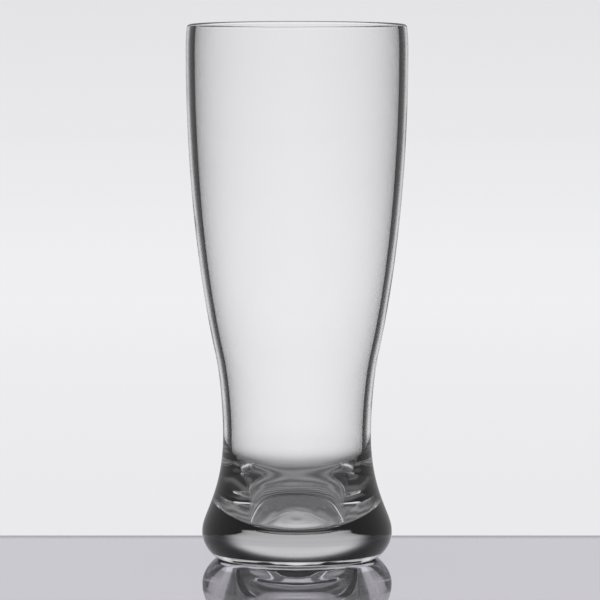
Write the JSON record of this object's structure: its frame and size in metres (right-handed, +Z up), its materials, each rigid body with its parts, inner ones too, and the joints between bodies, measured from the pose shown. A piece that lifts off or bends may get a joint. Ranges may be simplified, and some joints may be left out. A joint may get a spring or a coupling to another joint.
{
  "type": "pilsner glass",
  "caption": "Tall clear drinking glass with a wide mouth, a narrow waist and a heavy solid foot, for serving beer.",
  "frame": {"origin": "centre of the standing ring, on the plane of the surface that the glass stands on", "axes": "+Z up along the axis of the glass, from the foot to the mouth; it is the same all round, so X and Y are free"},
  "size_m": [0.0844, 0.0844, 0.203],
  "materials": {
    "clear_glass": "clear, fire-polished, smooth and glossy"
  },
  "bodies": {
    "root": {"glass": "clear_glass"}
  },
  "joints": []
}
